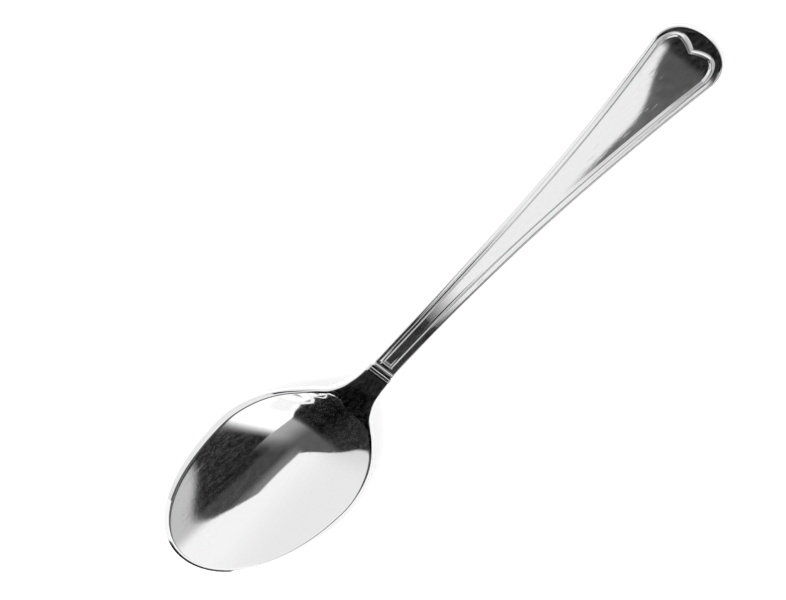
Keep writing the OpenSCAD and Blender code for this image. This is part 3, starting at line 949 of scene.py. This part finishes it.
def add_camera(stage):
    """The camera at the photograph's angle, aimed so that the spoon's middle falls on its pixel."""
    back, right, up = camera_frame(stage)
    middle = Vector((0.0, 0.0, stage.middle_h))
    place = middle + back * stage.camera_far
    aim = (middle + right * ((PHOTO_SIZE[0] / 2 - stage.centre_x) / stage.pixels_per_metre)
           + up * ((stage.centre_y - PHOTO_SIZE[1] / 2) / stage.pixels_per_metre))
    look_back = (place - aim).normalized()
    side = up.cross(look_back).normalized()
    over = look_back.cross(side)
    data = bpy.data.cameras.new("camera")
    data.sensor_width = SENSOR_WIDTH
    data.lens = stage.pixels_per_metre * stage.camera_far / PHOTO_SIZE[0] * data.sensor_width
    data.clip_start = CLIP_START
    camera = add_object("camera", data)
    turned = Matrix((side, over, look_back)).transposed()
    camera.matrix_world = Matrix.Translation(place) @ turned.to_4x4()
    bpy.context.scene.camera = camera


# Dome and flags, in degrees from the zenith along X and Y. Two values are where a change starts and ends, and a
# second two are what it changes from and to
DOME_RISE = (26.0, -2.0, 1.0, 1.12)
# Dull parts of the dome, on its -X side: depth, and where each sets in along X and Y
DOME_SHADES = ((0.22, (-28.0, -66.0), (28.0, 8.0)), (0.42, (-34.0, -26.0), (-24.0, -38.0)))
FAR_TOP = 11.0
FAR_BEND_AT = -62.0
FAR_BEND = 0.00098
FAR_BEND_POWER = 2.8
FAR_TOP_EDGE = (0.7, -0.7)
FAR_OUTER = (-8.0, 0.0, -71.0, -77.0)
FAR_OUTER_EDGE = (-1.0, 1.0)
FAR_INNER_EDGE = (-26.0, -31.0)
FAR_TONES = ((6.0, -14.0, 0.03, 0.12), (-18.0, -50.0, 0.11, 0.46))
FAR_STRIP_SHADE = 0.9
FAR_STRIP_X = (-56.0, -63.0)
FAR_STRIP_Y = ((-56.0, -50.0), (6.0, -20.0))
FAR_OUTER_SHADE = 0.8
FAR_OUTER_SHADE_X = (-54.0, -62.0)
NEAR_LOW_BEND, NEAR_LOW_AT, NEAR_LOW_POWER = 0.0133, -26.0, 1.9
NEAR_HIGH_BEND, NEAR_HIGH_AT, NEAR_HIGH_POWER = 0.0096, -27.5, 2.0
NEAR_EDGE = (-11.4, -12.0)
NEAR_TOP = (-6.0, -9.0)
NEAR_FOOT = (-71.5, -69.5)
NEAR_TONES = ((-8.0, -24.0, 0.26, 0.06), (-22.0, -44.0, 0.3, 0.014))
FLAGS_MEET = (-34.0, -24.0)
FLAGS_MEET_BELOW = (-39.0, -30.0)
WINDOW_SILL = (-58.0, -66.0, -50.0, -54.8)
WINDOW_EDGE = (0.8, -0.8)
WINDOW_LIGHT = 1.4
OVAL_CENTRE = (17.0, 28.0)
OVAL_STRETCH = 0.75
OVAL_EDGE = (17.0, 13.0)
OVAL_SHADE = 0.9
# Just over 1, so that the root of 1 - Z squared stays above 0 at the zenith
OVER_ONE = 1.0001


def sky_map(tree):
    """Degrees from the zenith along X and along Y, for each direction of the room."""
    toward = add_node(tree, "ShaderNodeVectorMath", add_node(tree, "ShaderNodeTexCoord").outputs["Generated"])
    toward.operation = "NORMALIZE"
    x, y, z = parts(tree, toward.outputs["Vector"])
    scale = z.maths("ARCCOSINE").maths("DEGREES") / (OVER_ONE - z * z).maths("SQRT")
    return x * scale, y * scale


def far_flag(x, y):
    """Cover and tone of the far flag. Its top edge falls with a power of X, and it fades towards the window."""
    top = FAR_TOP - FAR_BEND * past(x, FAR_BEND_AT, FAR_BEND_POWER)
    cover = (step(y - top, *FAR_TOP_EDGE) * step(x - step(y, *FAR_OUTER), *FAR_OUTER_EDGE)
             * step(x, *FAR_INNER_EDGE))
    tone = step(y, *FAR_TONES[0]).maths("MAXIMUM", step(y, *FAR_TONES[1]))
    tone = shade(tone, FAR_STRIP_SHADE, step(x, *FAR_STRIP_X), *(step(y, *along_y) for along_y in FAR_STRIP_Y))
    return cover, shade(tone, FAR_OUTER_SHADE, step(x, *FAR_OUTER_SHADE_X))


def near_flag(x, y):
    """Cover and tone of the near flag, whose edge curves away by powers of Y below and above its middle."""
    bend = (NEAR_LOW_BEND * past(-y, -NEAR_LOW_AT, NEAR_LOW_POWER)
            + NEAR_HIGH_BEND * past(y, NEAR_HIGH_AT, NEAR_HIGH_POWER))
    cover = step(x + bend, *NEAR_EDGE) * step(y, *NEAR_TOP) * step(y, *NEAR_FOOT)
    return cover, step(y, *NEAR_TONES[0]).maths("MINIMUM", step(y, *NEAR_TONES[1]))


def dark_oval(x, y):
    """Cover of the oval: a step on the distance from its centre, with X stretched."""
    dx = (x - OVAL_CENTRE[0]) / OVAL_STRETCH
    dy = y - OVAL_CENTRE[1]
    return step((dx * dx + dy * dy).maths("SQRT"), *OVAL_EDGE)


def add_world():
    """A white studio dome, a little brighter towards -Y, with dark flags. Seen straight, it is plain white.

    The far flag stands on the -X side with a bright window under its sill, and the near flag joins it on the side
    of the zenith. A small dark oval stands near the direction of the camera."""
    world = bpy.data.worlds.new("studio")
    bpy.context.scene.world = world
    world.use_nodes = True
    tree = world.node_tree
    tree.nodes.clear()
    x, y = sky_map(tree)
    window = step(y - step(x, *WINDOW_SILL), *WINDOW_EDGE)
    far, far_tone = far_flag(x, y)
    near, near_tone = near_flag(x, y)
    across = mixed(window, step(x, *FLAGS_MEET), step(x, *FLAGS_MEET_BELOW))
    tone = mixed(across, mixed(window, far_tone, WINDOW_LIGHT), near_tone)
    light = shades(step(y, *DOME_RISE), x, y, DOME_SHADES)
    light = mixed(far.maths("MAXIMUM", near), light, tone)
    dome = add_node(tree, "ShaderNodeBackground", shade(light, OVAL_SHADE, dark_oval(x, y)))
    plain = add_node(tree, "ShaderNodeBackground", (1.0, 1.0, 1.0, 1.0))
    seen = add_node(tree, "ShaderNodeLightPath").outputs["Is Camera Ray"]
    chosen = add_node(tree, "ShaderNodeMixShader", seen, dome.outputs["Background"], plain.outputs["Background"])
    add_node(tree, "ShaderNodeOutputWorld", chosen.outputs["Shader"])


ONE_QUAD = ((0, 1, 2, 3),)


def stage_sheet(name, corners, faces=ONE_QUAD):
    """A thin sheet through corners, added to the scene."""
    mesh = bpy.data.meshes.new(name)
    mesh.from_pydata(corners, [], faces)
    sheet = add_object(name, mesh)
    return sheet


def studio_sheet(name, corners, light_of, faces=ONE_QUAD):
    """A glowing sheet that is seen in the steel alone. Its strength is light_of(x, y, z), with places and corners
    in millimetres."""
    sheet = stage_sheet(name, [tuple(v * MM for v in corner) for corner in corners], faces)
    material = bpy.data.materials.new(name)
    material.use_nodes = True
    tree = material.node_tree
    tree.nodes.clear()
    place = parts(tree, add_node(tree, "ShaderNodeTexCoord").outputs["Object"])
    glow = add_node(tree, "ShaderNodeEmission", light_of(*(part * (1 / MM) for part in place)))
    add_node(tree, "ShaderNodeOutputMaterial", glow.outputs["Emission"])
    sheet.data.materials.append(material)
    for seen_by in ("camera", "diffuse", "shadow", "transmission", "volume_scatter"):
        setattr(sheet, "visible_" + seen_by, False)


# Sheets of the studio, in millimetres. A box is two opposite corners, and a light is where along the sheet a
# change starts and ends, and what it changes from and to
CARD_BOX = (-34.0, -460.0, 80.0, 112.0, 80.0, 80.0)
CARD_START = (-21.0, -13.0, 0.03, 1.04)
# Upper edge of the card's dark wedge: its height, its rise, the power of the rise and the X where it rises
WEDGE_TOP = -30.2
WEDGE_RISE = 5.6
WEDGE_POWER = 1.4
WEDGE_RISE_X = (30.0, 51.0)
# Lower edge of the wedge, as slope and height of a line, and the two parts along X in which it is dark
WEDGE_FOOT = (-0.09, -30.6)
WEDGE_EDGES = ((0.35, -0.35), (-0.3, 0.3))
WEDGE_SHADES = ((0.85, (6.0, 22.0)), (0.45, (26.0, 48.0)))
# Dark bands of the card: depth, slope and height of a line, the edge along it, and where it sets in along X and Y
CARD_BANDS = ((0.93, (0.07, -26.6), (0.0, 0.6), (26.0, 46.0), (-10.0, -16.0)),
              (0.8, (-0.085, -32.0), (0.4, -0.5), (-24.0, -14.0), (-50.0, -42.0)))
# Other dark parts of the card: depth, and where each sets in along X and Y
CARD_SHADES = ((0.93, (-20.0, 0.0), (-85.0, -120.0)), (0.75, (4.0, 26.0), (62.0, 76.0)),
               (0.4, (48.0, 52.0), (8.0, 20.0)))
# Dark end of the card, whose lower side slants past END_BEND_AT
END_SHADE = 0.965
END_X = (49.5, 52.0)
END_Y = (20.0, 8.0)
END_BEND_AT = 54.0
END_SLANT = 1.8
END_EDGE = (-39.5, -37.5)
# Dark sheets: name, box, and light over the height
DARK_SHEETS = (("neck_flag", (-30.0, -60.0, 8.0, -30.0, 5.0, 78.0), (8.0, 60.0, 0.0, 0.006)),
               ("bead_flag", (-17.0, -4.5, 9.2, -15.1, 2.5, 9.2), (0.0, 9.0, 0.01, 0.02)),
               ("collar_flag", (-8.0, -14.0, 15.0, -8.0, 4.0, 30.0), (10.0, 30.0, 0.01, 0.03)))
# Ring outside the rim: centre along X, reach to the front, the back and the side, height, climb, width and light
RING_CENTRE = -42.3
RING_FRONT, RING_BACK, RING_SIDE = 28.0, 21.1, 15.5
RING_HEIGHT, RING_CLIMB, RING_WIDTH = 7.6, 2.2, 14.0
RING_LIGHT = (-40.0, -15.0, 1.0, 1.15)
# First turn and turn between its places in degrees, and the number of places
RING_START, RING_TURN, RING_PLACES = -221.0, 5.0, 38


def card_light(x, y, z):
    """Light of the card over the handle: dark at its -X end, bright in the middle, and dark at its +X end.

    A wedge of it is dark too, between an upper edge that rises by a power of a step and a lower edge that is a
    line, and so are some bands, which the outer lands of the handle see."""
    light = step(x, *CARD_START)
    top = WEDGE_TOP + WEDGE_RISE * step(x, *WEDGE_RISE_X) ** WEDGE_POWER
    foot = WEDGE_FOOT[0] * x + WEDGE_FOOT[1]
    wedge = step(y - top, *WEDGE_EDGES[0]) * step(y - foot, *WEDGE_EDGES[1])
    for depth, along_x in WEDGE_SHADES:
        light = shade(light, depth, wedge, step(x, *along_x))
    for depth, (slope, height), edge, along_x, along_y in CARD_BANDS:
        light = shade(light, depth, step(y - (slope * x + height), *edge), step(x, *along_x), step(y, *along_y))
    light = shades(light, x, y, CARD_SHADES)
    ends = y + END_SLANT * past(x, END_BEND_AT)
    return shade(light, END_SHADE, step(x, *END_X), step(ends, *END_EDGE), step(y, *END_Y))


def add_ring():
    """A pale ring low over the outside of the bowl's -Y side, for the bevel of the rim.

    It is two ovals, stretched differently to the front and the back, with quads between them."""
    corners = []
    for place in range(RING_PLACES):
        turn = math.radians(RING_START + RING_TURN * place)
        along, out = math.cos(turn), math.sin(turn)
        long = RING_FRONT if along < 0 else RING_BACK
        height = RING_HEIGHT + RING_CLIMB * max(along, 0.0) ** 2
        for width in (0.0, RING_WIDTH):
            corners.append((RING_CENTRE + (long + width) * along, (RING_SIDE + width) * out, height))
    faces = [(2 * i, 2 * i + 1, 2 * i + 3, 2 * i + 2) for i in range(RING_PLACES - 1)]
    studio_sheet("rim_card", corners, lambda x, y, z: step(y, *RING_LIGHT), faces)


def sheet_corners(box):
    """The four corners of a sheet from two opposite corners that share their height or their X."""
    x0, y0, z0, x1, y1, z1 = box
    if z0 == z1:
        return [(x0, y0, z0), (x1, y0, z0), (x1, y1, z0), (x0, y1, z0)]
    return [(x0, y0, z0), (x0, y1, z0), (x0, y1, z1), (x0, y0, z1)]


def add_cards():
    """The ring by the rim, the card over the handle, and three dark sheets by the neck and the collar."""
    add_ring()
    studio_sheet("handle_card", sheet_corners(CARD_BOX), card_light)
    for name, box, light in DARK_SHEETS:
        studio_sheet(name, sheet_corners(box), lambda x, y, z: step(z, *light))


GROUND_ROUGHNESS = 0.9
GROUND_MOTTLE_SCALE = 60.0
GROUND_MOTTLE = 0.01
GROUND_LIFT = 0.32


def ground_material(stage):
    """Pale matt ground with a faint mottle, lifted to white where it is seen directly or in the steel."""
    material = bpy.data.materials.new("pale_ground")
    material.use_nodes = True
    tree = material.node_tree
    shader = tree.nodes["Principled BSDF"]
    pale = noise(tree, GROUND_MOTTLE_SCALE) * (2 * GROUND_MOTTLE) + (stage.ground[0] - GROUND_MOTTLE)
    feed_inputs(shader, {"Base Color": pale, "Roughness": GROUND_ROUGHNESS, "Specular IOR Level": 0.0})
    path = add_node(tree, "ShaderNodeLightPath").outputs
    seen = Field(path["Is Camera Ray"]).maths("MAXIMUM", path["Is Glossy Ray"])
    glow = add_node(tree, "ShaderNodeEmission", Strength=seen * GROUND_LIFT)
    both = add_node(tree, "ShaderNodeAddShader", shader.outputs["BSDF"], glow.outputs["Emission"])
    feed(both.outputs["Shader"], tree.nodes["Material Output"].inputs["Surface"])
    return material


def add_ground(stage):
    """A flat square of ground under the spoon."""
    half = stage.ground_size / 2
    ground = stage_sheet("ground", sheet_corners((-half, -half, 0.0, half, half, 0.0)))
    ground.data.materials.append(ground_material(stage))


LAMP_PLACE = (-0.25, 0.35, 0.9)
LAMP_SIZE = 0.6


def add_lamp(stage):
    """One large soft lamp high over the spoon, for its faint shadow."""
    data = bpy.data.lights.new("soft_lamp", "AREA")
    data.shape = "DISK"
    data.size = LAMP_SIZE
    data.energy = stage.lamp_power
    lamp = add_object("soft_lamp", data)
    lamp.location = LAMP_PLACE
    lamp.rotation_euler = (-lamp.location).to_track_quat("-Z", "Y").to_euler()
    lamp.visible_glossy = False


class TEASPOON_OT_stage(bpy.types.Operator):
    """Camera, pale ground, white studio dome and soft lamp."""

    bl_idname = "teaspoon.stage"
    bl_label = "Stage"

    def execute(self, context):
        stage = context.scene.teaspoon_stage
        add_camera(stage)
        add_world()
        add_cards()
        add_ground(stage)
        add_lamp(stage)
        context.scene.view_settings.view_transform = "Standard"
        return {"FINISHED"}


class TEASPOON_PT_panel(bpy.types.Panel):
    """Lists the spoon's regions and the stage."""

    bl_idname = "TEASPOON_PT_panel"
    bl_label = "Teaspoon"
    bl_space_type = "VIEW_3D"
    bl_region_type = "UI"
    bl_category = "Teaspoon"

    def draw(self, context):
        for group in ("teaspoon_sizes", "teaspoon_look", "teaspoon_stage"):
            box = self.layout.box()
            values = getattr(context.scene, group)
            for name in type(values).__annotations__:
                box.prop(values, name)
        for operator in OPERATORS:
            self.layout.operator(operator.bl_idname)


OPERATORS = (TEASPOON_OT_bowl, TEASPOON_OT_neck, TEASPOON_OT_collar, TEASPOON_OT_stem, TEASPOON_OT_handle,
             TEASPOON_OT_stage)
GROUPS = (("teaspoon_sizes", SpoonSizes), ("teaspoon_look", SteelLook), ("teaspoon_stage", StageLook))


def register():
    """Registers the groups, operators and panel."""
    for name, group in GROUPS:
        bpy.utils.register_class(group)
        setattr(bpy.types.Scene, name, PointerProperty(type=group))
    for operator in OPERATORS:
        bpy.utils.register_class(operator)
    bpy.utils.register_class(TEASPOON_PT_panel)


def unregister():
    """Takes the panel, operators and groups out again."""
    bpy.utils.unregister_class(TEASPOON_PT_panel)
    for operator in reversed(OPERATORS):
        bpy.utils.unregister_class(operator)
    for name, group in reversed(GROUPS):
        delattr(bpy.types.Scene, name)
        bpy.utils.unregister_class(group)


def main():
    """Registers the add-on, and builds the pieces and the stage."""
    register()
    for operator in OPERATORS:
        group, name = operator.bl_idname.split(".")
        getattr(getattr(bpy.ops, group), name)()


if __name__ == "__main__":
    main()
